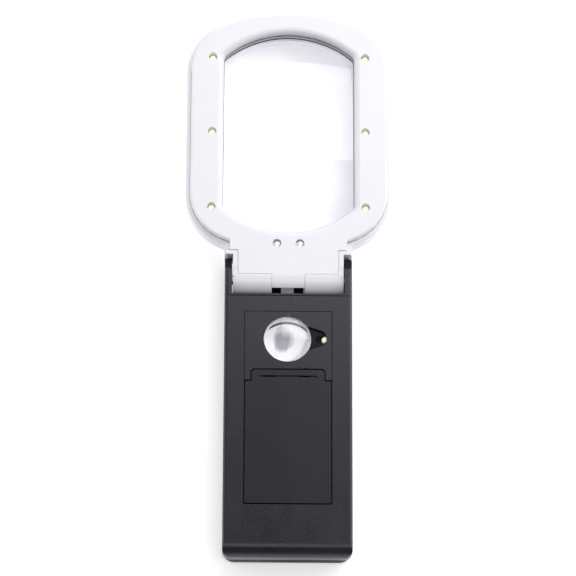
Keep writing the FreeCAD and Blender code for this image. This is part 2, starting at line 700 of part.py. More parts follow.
def main_board():
    board = box(-23.5, 23.5, -46.5, -17.2, PCB_Z, PCB_Z + PCB_T)
    board = board.fuse(box(-18.2, 18.2, -17.2, -12.4, PCB_Z, PCB_Z + PCB_T)).removeSplitter()
    return board.cut(cyl_z(LOUPE_X, LOUPE_Y, 0, THICK, 12.0))


def board_parts():
    top = PCB_Z + PCB_T
    return Part.makeCompound([
        box(-20.5, -14.5, -43.5, -38.5, top, top + 1.6),
        box(13.2, 15.4, -41.5, -38.3, top, top + 0.8),
        box(13.0, 16.2, -36.6, -35.0, top, top + 0.6),
        box(-16.8, -14.0, -20.2, -18.6, top, top + 0.6),
        cyl_z(-21.2, -34.8, top, top + 5.4, 2.0),
    ])


def handle_wires():
    path = [(-0.69, 8.02), (-4.5, 2.58), (-8.6, 2.75), (-12.6, 5.35), (-15.2, 5.34)]
    return Part.makeCompound([swept_wire([(x, y, z) for y, z in path], WIRE_R) for x in WIRE_XS])


def switch_housing():
    body = box(SWITCH_X - 4, SWITCH_X + 4, SWITCH_Y - 6, SWITCH_Y + 6, 2.7, PCB_Z)
    slot = SWITCH_TRAVEL + 1.1
    return body.cut(box(SWITCH_X - 1.1, SWITCH_X + 1.1, SWITCH_Y - slot, SWITCH_Y + slot, 2, 5.0))


def switch_knob():
    cap = box(SWITCH_X - 1.6, SWITCH_X + 1.6, SWITCH_Y - 2.5, SWITCH_Y + 2.5, 0.15, 2.4)
    stem = box(SWITCH_X - 0.7, SWITCH_X + 0.7, SWITCH_Y - 0.7, SWITCH_Y + 0.7, 2.2, 4.6)
    knob = cap.fuse(stem).removeSplitter()
    for i in range(-2, 3):
        y = SWITCH_Y + i * 0.9
        knob = knob.cut(box(SWITCH_X - 2, SWITCH_X + 2, y - 0.2, y + 0.2, 0, 0.5))
    return knob


def shell_screws():
    screws = []
    for y in SCREW_YS:
        for side in (-1, 1):
            screws.append(pan_screw(side * SCREW_X, y, SCREW_SEAT, -1, 2.1, 1.6, 1.0, 11.4))
    return Part.makeCompound(screws)


NODES = (
    rear_frame, bezel, main_lens, led_board, head_leds, neck_screws, hinge_pins, hinge_washers, head_wires,
    front_shell, rear_shell, loupe_panel, loupe_lens, loupe_barrel, loupe_led, battery_door, battery_tray,
    battery_cells, contact_springs, contact_plates, battery_leads, main_board, board_parts, handle_wires,
    switch_housing, switch_knob, shell_screws,
)

os.makedirs("parts", exist_ok=True)
for node in NODES:
    node().exportStep("parts/" + node.__name__ + ".step")
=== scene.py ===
import math
import bmesh
import bpy
from mathutils import Matrix, Vector


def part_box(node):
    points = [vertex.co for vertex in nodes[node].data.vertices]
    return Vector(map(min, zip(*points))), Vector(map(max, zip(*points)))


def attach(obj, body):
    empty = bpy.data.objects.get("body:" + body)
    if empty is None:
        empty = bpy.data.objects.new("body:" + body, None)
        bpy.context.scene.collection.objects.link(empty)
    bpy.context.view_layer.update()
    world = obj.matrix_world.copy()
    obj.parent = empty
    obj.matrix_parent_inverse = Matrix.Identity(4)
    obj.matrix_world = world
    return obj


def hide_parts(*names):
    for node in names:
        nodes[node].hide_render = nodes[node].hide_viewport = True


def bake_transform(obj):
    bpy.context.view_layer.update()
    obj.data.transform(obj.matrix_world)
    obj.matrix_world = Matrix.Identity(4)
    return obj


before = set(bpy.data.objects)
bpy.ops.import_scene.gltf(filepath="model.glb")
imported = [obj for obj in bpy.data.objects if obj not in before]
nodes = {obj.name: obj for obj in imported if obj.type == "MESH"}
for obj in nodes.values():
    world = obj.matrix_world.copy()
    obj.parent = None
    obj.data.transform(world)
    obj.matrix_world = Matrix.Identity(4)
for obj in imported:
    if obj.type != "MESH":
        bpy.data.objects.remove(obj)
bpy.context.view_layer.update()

MM = 0.001

# Boxes, in the row's frame, where a material changes.
# Clear patch of the main lens; painted shade darkens the lens away from it.
LENS_UNSHADED_MIDDLE = Vector((-8.0, 60.0, 9.0)) * MM
LENS_UNSHADED_SIZE = Vector((30.0, 44.0, 300.0)) * MM
# Place of the painted reflection in the loupe lens.
LOUPE_REFLECTION = Vector((-0.8, -27.2, 17.0)) * MM
LOUPE_REFLECTION_SIZE = Vector((3.3, 3.9, 30.0)) * MM
# Painted shade on the loupe lamp's root, inside the gap beside the panel.
LAMP_ROOT_SHADE_LOW = Vector((17.2, -31.5, 8.0)) * MM
LAMP_ROOT_SHADE_HIGH = Vector((21.0, -24.5, 17.0)) * MM
# Painted shade in the handle's window: recess floors and the walls of gaps between parts go near black.
GAP_SHADE_LOW = Vector((-18.9, -100.2, 9.0)) * MM
GAP_SHADE_HIGH = Vector((18.9, -15.9, 17.3)) * MM
# Painted shade: a near-black band along the seam groove round the rear shell.
SEAM_SHADE_LOW = Vector((-28.0, -122.0, 8.15)) * MM
SEAM_SHADE_HIGH = Vector((28.0, -8.6, 9.2)) * MM
# Painted shade on the inner wall of the lens opening: black from the line up to the top, darker grey below
# it.
WALL_SHADE_LOW = Vector((-28.7, 19.3, 5.0)) * MM
WALL_SHADE_HIGH = Vector((28.7, 110.7, 14.3)) * MM
WALL_SHADOW_LINE = Vector((28.7, 110.7, 12.6)) * MM
CELL_SHOULDER = (-61.2 * MM, -60.8 * MM)

FLOOR_GAP = 0.2 * MM

# Light that surfaces give off: painted light on the lamp resin and the wire jackets, which are not lit, and
# an even glow from the pale floor.
FLOOR_GLOW = 0.34
RESIN_PAINTED_LIGHT = 0.30
JACKET_PAINTED_LIGHT = 0.06


# ------------------------------------------------------------ node helpers

class Finish:
    """A material under construction: its node tree, its shader and short ways to add nodes."""

    def __init__(self, name):
        self.material = bpy.data.materials.new(name)
        self.material.use_nodes = True
        self.tree = self.material.node_tree
        self.shader = self.tree.nodes["Principled BSDF"]
        self.coordinates = self.tree.nodes.new("ShaderNodeTexCoord").outputs["Object"]

    def set(self, **values):
        for socket, value in values.items():
            self.shader.inputs[socket.replace("_", " ")].default_value = value
        return self

    def add(self, kind, **settings):
        node = self.tree.nodes.new(kind)
        for key, value in settings.items():
            setattr(node, key, value)
        return node

    def link(self, source, target):
        self.tree.links.new(source, target)

    def stretched(self, scale):
        """Object coordinates, multiplied along each axis."""
        node = self.add("ShaderNodeMapping")
        node.inputs["Scale"].default_value = scale
        self.link(self.coordinates, node.inputs["Vector"])
        return node.outputs["Vector"]

    def noise(self, scale, detail=3.0, roughness=0.55, along=None):
        node = self.add("ShaderNodeTexNoise")
        node.inputs["Scale"].default_value = scale
        node.inputs["Detail"].default_value = detail
        node.inputs["Roughness"].default_value = roughness
        self.link(along or self.coordinates, node.inputs["Vector"])
        return node.outputs["Fac"]

    def spots(self, scale, along=None):
        node = self.add("ShaderNodeTexVoronoi", feature="F1")
        node.inputs["Scale"].default_value = scale
        self.link(along or self.coordinates, node.inputs["Vector"])
        return node.outputs["Distance"]

    def span(self, value, low, high, start=0.35, end=0.65):
        node = self.add("ShaderNodeMapRange")
        node.inputs["From Min"].default_value = start
        node.inputs["From Max"].default_value = end
        node.inputs["To Min"].default_value = low
        node.inputs["To Max"].default_value = high
        self.link(value, node.inputs["Value"])
        return node.outputs["Result"]

    def blend(self, factor, first, second):
        node = self.add("ShaderNodeMix", data_type="RGBA")
        self.link(factor, node.inputs["Factor"])
        for socket, colour in (("A", first), ("B", second)):
            target = [i for i in node.inputs if i.name == socket and i.type == "RGBA"][0]
            if isinstance(colour, tuple):
                target.default_value = (*colour, 1.0)
            else:
                self.link(colour, target)
        return [o for o in node.outputs if o.type == "RGBA"][0]

    def total(self, first, second, share):
        """first + share * second."""
        node = self.add("ShaderNodeMath", operation="MULTIPLY_ADD")
        self.link(second, node.inputs[0])
        node.inputs[1].default_value = share
        self.link(first, node.inputs[2])
        return node.outputs[0]

    def product(self, first, second):
        node = self.add("ShaderNodeMath", operation="MULTIPLY")
        self.link(first, node.inputs[0])
        self.link(second, node.inputs[1])
        return node.outputs[0]

    def inside(self, low, high, soft=0.1 * MM):
        """1 inside the box from low to high, fading to 0 across its faces."""
        split = self.add("ShaderNodeSeparateXYZ")
        self.link(self.coordinates, split.inputs["Vector"])
        mask = None
        for axis, floor_at, top_at in zip("XYZ", low, high):
            value = split.outputs[axis]
            above = self.span(value, 0.0, 1.0, floor_at - soft, floor_at + soft)
            below = self.span(value, 1.0, 0.0, top_at - soft, top_at + soft)
            both = self.product(above, below)
            mask = self.product(mask, both) if mask else both
        return mask

    def away(self, centre, size, warp):
        """Distance from a centre in units of size, along paths bent by noise, and the bent place itself."""
        centred = self.add("ShaderNodeMapping", vector_type="TEXTURE")
        centred.inputs["Location"].default_value = centre
        centred.inputs["Scale"].default_value = size
        self.link(self.coordinates, centred.inputs["Vector"])
        noise = self.add("ShaderNodeTexNoise")
        noise.inputs["Scale"].default_value = 0.9
        noise.inputs["Detail"].default_value = 1.0
        self.link(centred.outputs["Vector"], noise.inputs["Vector"])
        bent = self.add("ShaderNodeVectorMath", operation="MULTIPLY_ADD")
        self.link(noise.outputs["Color"], bent.inputs[0])
        bent.inputs[1].default_value = (warp, warp, 0.0)
        self.link(centred.outputs["Vector"], bent.inputs[2])
        length = self.add("ShaderNodeVectorMath", operation="LENGTH")
        self.link(bent.outputs[0], length.inputs[0])
        return length.outputs["Value"], bent.outputs[0]

    def lets_lamps_through(self):
        """Light reaches what lies behind the surface."""
        path = self.add("ShaderNodeLightPath")
        clear = self.add("ShaderNodeBsdfTransparent")
        mix = self.add("ShaderNodeMixShader")
        self.link(path.outputs["Is Shadow Ray"], mix.inputs[0])
        self.link(self.shader.outputs[0], mix.inputs[1])
        self.link(clear.outputs[0], mix.inputs[2])
        self.link(mix.outputs[0], self.tree.nodes["Material Output"].inputs["Surface"])
        return self

    def colour(self, value):
        self.link(value, self.shader.inputs["Base Color"])
        return self

    def roughness(self, value):
        self.link(value, self.shader.inputs["Roughness"])
        return self

    def relief(self, height, strength, depth, edge=None):
        """Bump from a height, over edges rounded by the given radius."""
        bump = self.add("ShaderNodeBump")
        bump.inputs["Strength"].default_value = strength
        bump.inputs["Distance"].default_value = depth
        self.link(height, bump.inputs["Height"])
        if edge:
            rounding = self.add("ShaderNodeBevel", samples=4)
            rounding.inputs["Radius"].default_value = edge
            self.link(rounding.outputs["Normal"], bump.inputs["Normal"])
        self.link(bump.outputs["Normal"], self.shader.inputs["Normal"])
        return self


# --------------------------------------------------------------- materials

def white_abs(name, wall_shaded):
    """Glossy white moulding with a faint cool tint; with the flag set it adds painted shade on the lens
    opening's inner wall: a black shadow line above a darker grey band.
    """
    f = Finish(name).set(IOR=1.5, Coat_Weight=0.15, Coat_Roughness=0.2)
    tint = f.blend(f.span(f.noise(14.0, 2.0), 0.0, 1.0), (0.755, 0.746, 0.793), (0.772, 0.763, 0.808))
    if wall_shaded:
        # Painted shade: black shadow line at the top of the opening's wall, darker grey below it.
        wall_shade = f.blend(f.inside(WALL_SHADE_LOW, WALL_SHADOW_LINE), (0.035, 0.034, 0.045), (0.62, 0.60, 0.68))
        tint = f.blend(f.inside(WALL_SHADE_LOW, WALL_SHADE_HIGH), tint, wall_shade)
    f.colour(tint)
    f.roughness(f.span(f.noise(90.0), 0.28, 0.36))
    height = f.total(f.noise(420.0, 2.0), f.noise(5200.0, 2.0), 0.25)
    return f.relief(height, 0.05, 0.05 * MM, 0.22 * MM).material


def charcoal_abs(name, dark, light, rough_low, rough_high, gap=None, gloss=0.5):
    """Satin charcoal moulding: fine spark-eroded texture and uneven sheen, with painted shade inside the
    gap box: near black and less glossy on recess floors and the walls of gaps between parts.
    """
    f = Finish(name).set(IOR=1.5, Specular_Tint=(0.91, 0.91, 1.0, 1.0))
    tone = f.total(f.noise(24.0, 4.0), f.noise(2600.0, 2.0), 0.25)
    plain = f.blend(f.span(tone, 0.0, 1.0, 0.45, 0.85), dark, light)
    # Painted shade: near black and less glossy inside the gap box.
    gap_shade = f.inside(*(gap or (GAP_SHADE_LOW, GAP_SHADE_HIGH)))
    f.colour(f.blend(gap_shade, plain, (0.0045, 0.0045, 0.005)))
    shine = f.span(gap_shade, gloss, gloss * 0.35, 0.0, 1.0)
    f.link(shine, f.shader.inputs["Specular IOR Level"])
    marks = f.noise(45.0, 5.0, 0.65, f.stretched((1.0, 0.35, 1.0)))
    sheen = f.total(f.span(marks, rough_low, rough_high), f.span(f.noise(900.0), -0.5, 0.5), 0.06)
    f.roughness(sheen)
    height = f.total(f.noise(3800.0, 2.0), f.spots(2600.0), 0.5)
    return f.relief(height, 0.09, 0.04 * MM, 0.2 * MM).material


def lens_acrylic():
    """Polished clear acrylic with painted shade: its colour turns a darker lavender grey away from a clear
    patch, most towards its rim; hairline scratches in its gloss.
    """
    f = Finish("acrylic").set(Transmission_Weight=1.0, IOR=1.49)
    # Painted shade: the lens darkens away from the clear patch.
    distance, _ = f.away(LENS_UNSHADED_MIDDLE, LENS_UNSHADED_SIZE, 0.5)
    f.colour(f.blend(f.span(distance, 0.0, 1.0, 0.55, 1.35), (0.97, 0.965, 0.98), (0.74, 0.725, 0.765)))
    scratches = f.noise(800.0, 5.0, 0.75, f.stretched((1.0, 0.12, 1.0)))
    f.roughness(f.span(scratches, 0.0, 0.03, 0.5, 0.8))
    return f.lets_lamps_through().material


def loupe_acrylic():
    """Clear moulded acrylic with painted reflections: a grey oval of reflected surroundings off its centre
    and ringed streaks round it.
    """
    f = Finish("loupe_acrylic").set(Transmission_Weight=1.0, IOR=1.49)
    # Painted reflection: a grey oval of the surroundings, with ringed streaks round it.
    distance, bent = f.away(LOUPE_REFLECTION, LOUPE_REFLECTION_SIZE, 0.9)
    painted_reflection = f.span(distance, 1.0, 0.0, 0.85, 1.15)
    reflected_streaks = f.add("ShaderNodeTexWave", wave_type="RINGS", rings_direction="SPHERICAL")
    reflected_streaks.inputs["Scale"].default_value = 0.16
    reflected_streaks.inputs["Distortion"].default_value = 4.0
    reflected_streaks.inputs["Detail"].default_value = 2.0
    f.link(bent, reflected_streaks.inputs["Vector"])
    lines = f.span(reflected_streaks.outputs["Fac"], 0.0, 1.0, 0.55, 0.9)
    clear = f.blend(lines, (0.99, 0.985, 0.995), (0.66, 0.65, 0.69))
    f.colour(f.blend(painted_reflection, clear, (0.40, 0.39, 0.42)))
    f.roughness(f.span(f.noise(1500.0, 5.0, 0.75, f.stretched((1.0, 0.12, 1.0))), 0.0, 0.03, 0.5, 0.8))
    return f.lets_lamps_through().material


def lamp_resin():
    """Pale yellow resin with painted light: it glows a little, though the lamps are not lit."""
    f = Finish("lamp_resin").set(IOR=1.45, Transmission_Weight=0.15, Coat_Weight=0.4, Coat_Roughness=0.08)
    # Painted light: a faint glow of the resin.
    f.set(Emission_Color=(1.0, 0.98, 0.86, 1.0), Emission_Strength=RESIN_PAINTED_LIGHT)
    f.colour(f.blend(f.span(f.noise(700.0), 0.0, 1.0), (0.88, 0.87, 0.60), (0.95, 0.95, 0.74)))
    f.roughness(f.span(f.noise(1600.0), 0.12, 0.25))
    return f.material


def phosphor():
    """Yellow phosphor gel over a lamp's chip."""
    f = Finish("phosphor").set(Subsurface_Weight=0.2, Subsurface_Radius=(0.3 * MM, 0.3 * MM, 0.1 * MM))
    f.colour(f.blend(f.span(f.noise(1400.0), 0.0, 1.0), (0.86, 0.80, 0.36), (0.93, 0.90, 0.58)))
    f.roughness(f.span(f.noise(3000.0), 0.35, 0.55))
    return f.relief(f.noise(4000.0), 0.3, 0.05 * MM).material


def metal(name, colour, rough_low, rough_high, grain=(1.0, 1.0, 1.0)):
    f = Finish(name).set(Metallic=1.0)
    lines = f.noise(900.0, 4.0, 0.6, f.stretched(grain))
    darker = tuple(c * 0.82 for c in colour)
    f.colour(f.blend(f.span(f.noise(260.0), 0.0, 1.0), darker, colour))
    f.roughness(f.span(lines, rough_low, rough_high))
    return f.relief(lines, 0.2, 0.02 * MM, 0.08 * MM).material


def black_plastic():
    f = Finish("black_plastic").set(IOR=1.5)
    f.colour(f.blend(f.span(f.noise(120.0), 0.0, 1.0), (0.010, 0.010, 0.011), (0.018, 0.018, 0.019)))
    f.roughness(f.span(f.noise(300.0), 0.45, 0.6))
    return f.relief(f.noise(3000.0), 0.2, 0.05 * MM, 0.15 * MM).material


def wire_jacket():
    f = Finish("wire_jacket").set(IOR=1.52)
    # Painted light: the jacket glows a little, lifting the wires out of the shade under the hinge.
    f.set(Emission_Color=(1.0, 1.0, 1.0, 1.0), Emission_Strength=JACKET_PAINTED_LIGHT)
    f.colour(f.blend(f.span(f.noise(400.0), 0.0, 1.0), (0.80, 0.80, 0.85), (0.88, 0.88, 0.92)))
    f.roughness(f.span(f.noise(700.0), 0.32, 0.45))
    return f.relief(f.noise(2500.0), 0.15, 0.03 * MM).material


def solder_mask():
    """Green board with tracks showing through the mask."""
    f = Finish("solder_mask").set(IOR=1.5, Coat_Weight=0.4, Coat_Roughness=0.15)
    tracks = f.add("ShaderNodeTexBrick", offset=0.35, squash=0.6, squash_frequency=3)
    tracks.inputs["Scale"].default_value = 210.0
    tracks.inputs["Mortar Size"].default_value = 0.08
    tracks.inputs["Color1"].default_value = (0.012, 0.105, 0.045, 1.0)
    tracks.inputs["Color2"].default_value = (0.014, 0.12, 0.05, 1.0)
    tracks.inputs["Mortar"].default_value = (0.035, 0.22, 0.09, 1.0)
    f.link(f.coordinates, tracks.inputs["Vector"])
    f.colour(f.blend(f.span(f.noise(80.0), 0.0, 0.35), tracks.outputs["Color"], (0.01, 0.08, 0.035)))
    f.roughness(f.span(f.noise(500.0), 0.25, 0.4))
    return f.relief(tracks.outputs["Fac"], 0.3, 0.05 * MM).material


def cell_jacket():
    """Foil sleeve in slate with a copper shoulder at one end."""
    f = Finish("cell_jacket").set(Metallic=0.6)
    split = f.add("ShaderNodeSeparateXYZ")
    f.link(f.coordinates, split.inputs["Vector"])
    band = f.span(split.outputs["Y"], 0.0, 1.0, *CELL_SHOULDER)
    slate = f.blend(f.span(f.noise(60.0), 0.0, 1.0), (0.05, 0.06, 0.075), (0.075, 0.085, 0.10))
    f.colour(f.blend(band, slate, (0.55, 0.30, 0.14)))
    f.roughness(f.span(f.noise(600.0, 4.0, 0.6, f.stretched((1.0, 0.1, 1.0))), 0.22, 0.38))
    return f.relief(f.noise(900.0), 0.1, 0.03 * MM).material


def floor_sheet():
    """Matte pale sheet the magnifier lies on, lit a little from below."""
    f = Finish("floor_sheet").set(IOR=1.3)
    f.set(Emission_Color=(1.0, 1.0, 1.0, 1.0), Emission_Strength=FLOOR_GLOW)
    f.colour(f.blend(f.span(f.noise(3.0), 0.0, 1.0), (0.93, 0.93, 0.93), (0.95, 0.95, 0.95)))
    f.roughness(f.span(f.noise(40.0), 0.7, 0.85))
    return f.material


white = white_abs("white_abs", False)
white_with_wall_shade = white_abs("white_abs_bezel", True)
charcoal = charcoal_abs("charcoal_abs", (0.0055, 0.0055, 0.0085), (0.0095, 0.0095, 0.0130), 0.25, 0.34)
door_charcoal = charcoal_abs(
    "door_charcoal", (0.0035, 0.0035, 0.0048), (0.0065, 0.0065, 0.0080), 0.30, 0.38, gloss=0.42
)
# The rear shell gets painted shade along its seam groove.
rear_charcoal = charcoal_abs(
    "charcoal_rear", (0.0050, 0.0050, 0.0075), (0.0085, 0.0085, 0.0115), 0.45, 0.55,
    gap=(SEAM_SHADE_LOW, SEAM_SHADE_HIGH), gloss=0.13
)
acrylic = lens_acrylic()
loupe_clear = loupe_acrylic()
resin = lamp_resin()
gel = phosphor()
black = black_plastic()
zinc = metal("zinc_steel", (0.95, 0.95, 0.97), 0.22, 0.34)
nickel = metal("nickel_spring", (0.78, 0.76, 0.72), 0.12, 0.25)
jacket = wire_jacket()
board_green = solder_mask()
sleeve = cell_jacket()

MATERIAL_OF = {
    "rear_frame": white,
    "bezel": white_with_wall_shade,
    "led_board": board_green,
    "neck_screws": zinc,
    "hinge_pins": zinc,
    "hinge_washers": nickel,
    "front_shell": charcoal,
    "rear_shell": rear_charcoal,
    "loupe_panel": charcoal,
    "loupe_barrel": white,
    "battery_door": door_charcoal,
    "battery_tray": black,
    "battery_cells": sleeve,
    "contact_springs": nickel,
    "contact_plates": nickel,
    "battery_leads": jacket,
    "main_board": board_green,
    "board_parts": black,
    "switch_housing": black,
    "switch_knob": black,
    "shell_screws": zinc,
}

for name, material in MATERIAL_OF.items():
    mesh = nodes[name].data
    mesh.materials.clear()
    mesh.materials.append(material)


# ------------------------------------------------------------ mesh helpers

def piece(name, mesh, material, sharp=math.radians(32)):
    mesh.materials.append(material)
    mesh.shade_smooth()
    mesh.set_sharp_from_angle(angle=sharp)
    obj = bpy.data.objects.new(name, mesh)
    bpy.context.scene.collection.objects.link(obj)
    return obj


def closed_piece(name, bm, material):
    """The piece made of a closed bmesh, with its faces turned outwards."""
    bmesh.ops.recalc_face_normals(bm, faces=bm.faces)
    mesh = bpy.data.meshes.new(name)
    bm.to_mesh(mesh)
    bm.free()
    return piece(name, mesh, material)


def lathed(name, profiles, material, segments=40):
    """One mesh of turned solids: each is (base, direction, [(radius, height), ...])."""
    bm = bmesh.new()
    for base, direction, profile in profiles:
        turn = direction.normalized().to_track_quat("Z", "Y").to_matrix()
        rings = []
        for radius, height in profile:
            if radius == 0:
                rings.append([bm.verts.new(base + turn @ Vector((0, 0, height)))])
                continue
            ring = []
            for i in range(segments):
                a = 2 * math.pi * i / segments
                point = Vector((radius * math.cos(a), radius * math.sin(a), height))
                ring.append(bm.verts.new(base + turn @ point))
            rings.append(ring)
        for lower, upper in zip(rings, rings[1:]):
            for i in range(segments):
                j = (i + 1) % segments
                corners = [lower[i % len(lower)], lower[j % len(lower)],
                           upper[j % len(upper)], upper[i % len(upper)]]
                bm.faces.new(list(dict.fromkeys(corners)))
    return closed_piece(name, bm, material)


ON_AXIS = 1e-7


def arc(centre_r, centre_h, radius, from_deg, to_deg, steps):
    """Points (radius, height) round an arc; 0 degrees points outwards and 90 along the axis."""
    points = []
    for i in range(steps + 1):
        a = math.radians(from_deg + (to_deg - from_deg) * i / steps)
        points.append((max(0.0, centre_r + radius * math.cos(a)), centre_h + radius * math.sin(a)))
    return [(0 if r < ON_AXIS else r, h) for r, h in points]


def tube(name, routes, radius, material, order=4):
    """Round tubes along smooth routes, as one mesh."""
    curve = bpy.data.curves.new(name + "_route", "CURVE")
    curve.dimensions = "3D"
    curve.bevel_depth = radius
    curve.bevel_resolution = 5
    curve.use_fill_caps = True
    for route in routes:
        spline = curve.splines.new("NURBS")
        spline.points.add(len(route) - 1)
        for point, place in zip(spline.points, route):
            point.co = (*place, 1.0)
        spline.order_u = order
        spline.use_endpoint_u = True
        spline.resolution_u = 10
    holder = bpy.data.objects.new(name + "_route", curve)
    bpy.context.scene.collection.objects.link(holder)
    bpy.context.view_layer.update()
    mesh = bpy.data.meshes.new_from_object(holder)
    bpy.data.objects.remove(holder)
    mesh.name = name
    mesh.materials.clear()
    return piece(name, mesh, material)


# -------------------------------------------------------------- main lens

LENS_SPHERE = 200.0 * MM
LENS_ARC = 43.0 * MM
LENS_CORNER = 4.0 * MM
LENS_RINGS = 30


def screen_outline(half_w, half_h, arc_r, corner_r):
    """Points round a shape with straight sides, bowed ends and rounded corners, about its centre."""
    corner_x = half_w - corner_r
    arc_y = half_h - arc_r
    rise = math.sqrt((arc_r - corner_r) ** 2 - corner_x ** 2)
    lean = math.atan2(rise, corner_x)
    quarter = []
    for i in range(13):
        quarter.append((half_w, (arc_y + rise) * i / 13))
    for i in range(7):
        a = lean * i / 6
        quarter.append((corner_x + corner_r * math.cos(a), arc_y + rise + corner_r * math.sin(a)))
    for i in range(1, 17):
        a = lean + (math.pi / 2 - lean) * i / 16
        quarter.append((arc_r * math.cos(a), arc_y + arc_r * math.sin(a)))
    right = [(x, -y) for x, y in reversed(quarter[1:])] + quarter
    left = [(-x, -y) for x, y in right[1:-1]]
    return right + left


def domed_blank(name, low, high, outline, sphere, material):
    """Biconvex lens: both faces are spheres that meet a wall along the outline."""
    centre = (low + high) / 2
    half_t = (high.z - low.z) / 2
    bm = bmesh.new()
    sides = []
    for way in (1, -1):
        rings = [[bm.verts.new(centre + Vector((0, 0, way * half_t)))]]
        for i in range(1, LENS_RINGS + 1):
            share = i / LENS_RINGS
            ring = []
            for x, y in outline:
                away = math.hypot(x, y) * share
                sag = sphere - math.sqrt(sphere ** 2 - away ** 2)
                ring.append(bm.verts.new(centre + Vector((x * share, y * share, way * (half_t - sag)))))
            rings.append(ring)
        sides.append(rings)
    count = len(outline)
    for rings in sides:
        for lower, upper in zip(rings, rings[1:]):
            for i in range(count):
                j = (i + 1) % count
                corners = [lower[i % len(lower)], lower[j % len(lower)], upper[j], upper[i]]
                bm.faces.new(list(dict.fromkeys(corners)))
    top, bottom = sides[0][-1], sides[1][-1]
    for i in range(count):
        j = (i + 1) % count
        bm.faces.new([top[i], top[j], bottom[j], bottom[i]])
    return closed_piece(name, bm, material)


low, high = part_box("main_lens")
half = (high - low) / 2
outline = screen_outline(half.x, half.y, LENS_ARC, LENS_CORNER)
lens = domed_blank("main_lens_clear", low, high, outline, LENS_SPHERE, acrylic)
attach(lens, "head")
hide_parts("main_lens")


def outline_band(name, centre, outline, section, material):
    """Ring of one cross section round an outline; section gives (outset, height) at a place on it."""
    bm = bmesh.new()
    rings = []
    for x, y in outline:
        away = math.hypot(x, y)
        ring = []
        for outset, height in section(away):
            share = (away + outset) / away
            ring.append(bm.verts.new(centre + Vector((x * share, y * share, height))))
        rings.append(ring)
    for here, after in zip(rings, rings[1:] + rings[:1]):
        for i in range(len(here)):
            j = (i + 1) % len(here)
            bm.faces.new([here[i], here[j], after[j], after[i]])
    band = closed_piece(name, bm, material)
    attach(band, "head")
    return band


def lens_rise(away):
    """Height of the lens's front face above its middle plane."""
    return half.z - (LENS_SPHERE - math.sqrt(LENS_SPHERE ** 2 - away ** 2))


EDGE_SHADE_GAP = 0.02 * MM
EDGE_SHADE_W = 0.26 * MM
EDGE_SHADE_H = 0.3 * MM
LENS_OVERLAP = 1.0 * MM


def edge_shade_section(away):
    """Painted shade: a black bead in the corner between the lens's front face and the opening's wall, for
    the dark line along the lens's edge.
    """
    low_in = lens_rise(away - EDGE_SHADE_W) + EDGE_SHADE_GAP
    low_out = lens_rise(away) + EDGE_SHADE_GAP
    crown = (-EDGE_SHADE_W * 0.6, low_in + EDGE_SHADE_H * 0.8)
    return [(-EDGE_SHADE_W, low_in), crown, (0.0, low_out + EDGE_SHADE_H), (0.0, low_out)]


middle = (low + high) / 2
opening = screen_outline(
    half.x - LENS_OVERLAP, half.y - LENS_OVERLAP, LENS_ARC - LENS_OVERLAP, LENS_CORNER - LENS_OVERLAP
)
# Painted shade: a black bead round the lens's edge, for the dark line where the lens meets the wall.
outline_band("main_lens_edge_shade", middle, opening, edge_shade_section, black)

BEZEL_INSET = 2.0 * MM
HEAD_ARC = 75.0 * MM
HEAD_CORNER = 24.0 * MM
RIM_Z = 14.0 * MM
# Size of the painted shadow band along the bezel's edge.
BEZEL_SHADE_W = 0.14 * MM
BEZEL_SHADE_H = 0.05 * MM
frame_low, frame_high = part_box("rear_frame")
head_half_w = (frame_high.x - frame_low.x) / 2
head_half_h = frame_high.y - middle.y
rim_top = Vector((middle.x, middle.y, RIM_Z))
rim = screen_outline(
    head_half_w - BEZEL_INSET, head_half_h - BEZEL_INSET, HEAD_ARC - BEZEL_INSET, HEAD_CORNER - BEZEL_INSET
)
bezel_shade_corners = [(0.0, 0.0), (BEZEL_SHADE_W, 0.0), (BEZEL_SHADE_W, BEZEL_SHADE_H), (0.0, BEZEL_SHADE_H)]
# Painted shadow: a thin black band on the frame's rim along the bezel's edge, for the shadowed gap under
# the bezel.
outline_band("bezel_gap_shade", rim_top, rim, lambda away: bezel_shade_corners, black)


# ------------------------------------------------------------------ loupe

LOUPE_SPHERE = 45.0 * MM
LOUPE_EDGE = 0.12 * MM

low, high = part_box("loupe_lens")
loupe_r = (high.x - low.x) / 2
loupe_t = high.z - low.z
lean = math.degrees(math.asin((loupe_r - LOUPE_EDGE) / LOUPE_SPHERE))
front_arc = arc(0, loupe_t - LOUPE_SPHERE, LOUPE_SPHERE, 90 - lean, 90, 24)
back_arc = [(r, loupe_t - h) for r, h in reversed(front_arc)]
edge = [(loupe_r, back_arc[-1][1] + LOUPE_EDGE), (loupe_r, front_arc[0][1] - LOUPE_EDGE)]
loupe_base = Vector(((low.x + high.x) / 2, (low.y + high.y) / 2, low.z))
loupe_profile = back_arc + edge + front_arc
loupe_turned = [(loupe_base, Vector((0, 0, 1)), loupe_profile)]
loupe = lathed("loupe_lens_clear", loupe_turned, loupe_clear, segments=96)
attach(loupe, "handle")
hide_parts("loupe_lens")


# ------------------------------------------------------------------ lamps

LAMP_R = 1.5 * MM
FLANGE_R = 1.9 * MM
FLANGE_H = 1.0 * MM
CUP_H = 2.1 * MM
LOUPE_LAMP_LENGTH = 5.3 * MM
LOUPE_LAMP_TILT = math.radians(48)
LOUPE_BORE = Vector((14.0, -28.1, 16.5)) * MM
LOUPE_LAMP_DEPTH = 6.0 * MM
FLANGE_ROUND = 0.1 * MM
CUP_R = 0.95 * MM
CUP_FLOOR = 0.4 * MM
CUP_LIP_R = 0.85 * MM
CUP_WELL_R = 0.5 * MM
CUP_WELL_DEPTH = 0.5 * MM
LEG_R = 0.25 * MM
LEG_SPREAD = 1.0 * MM
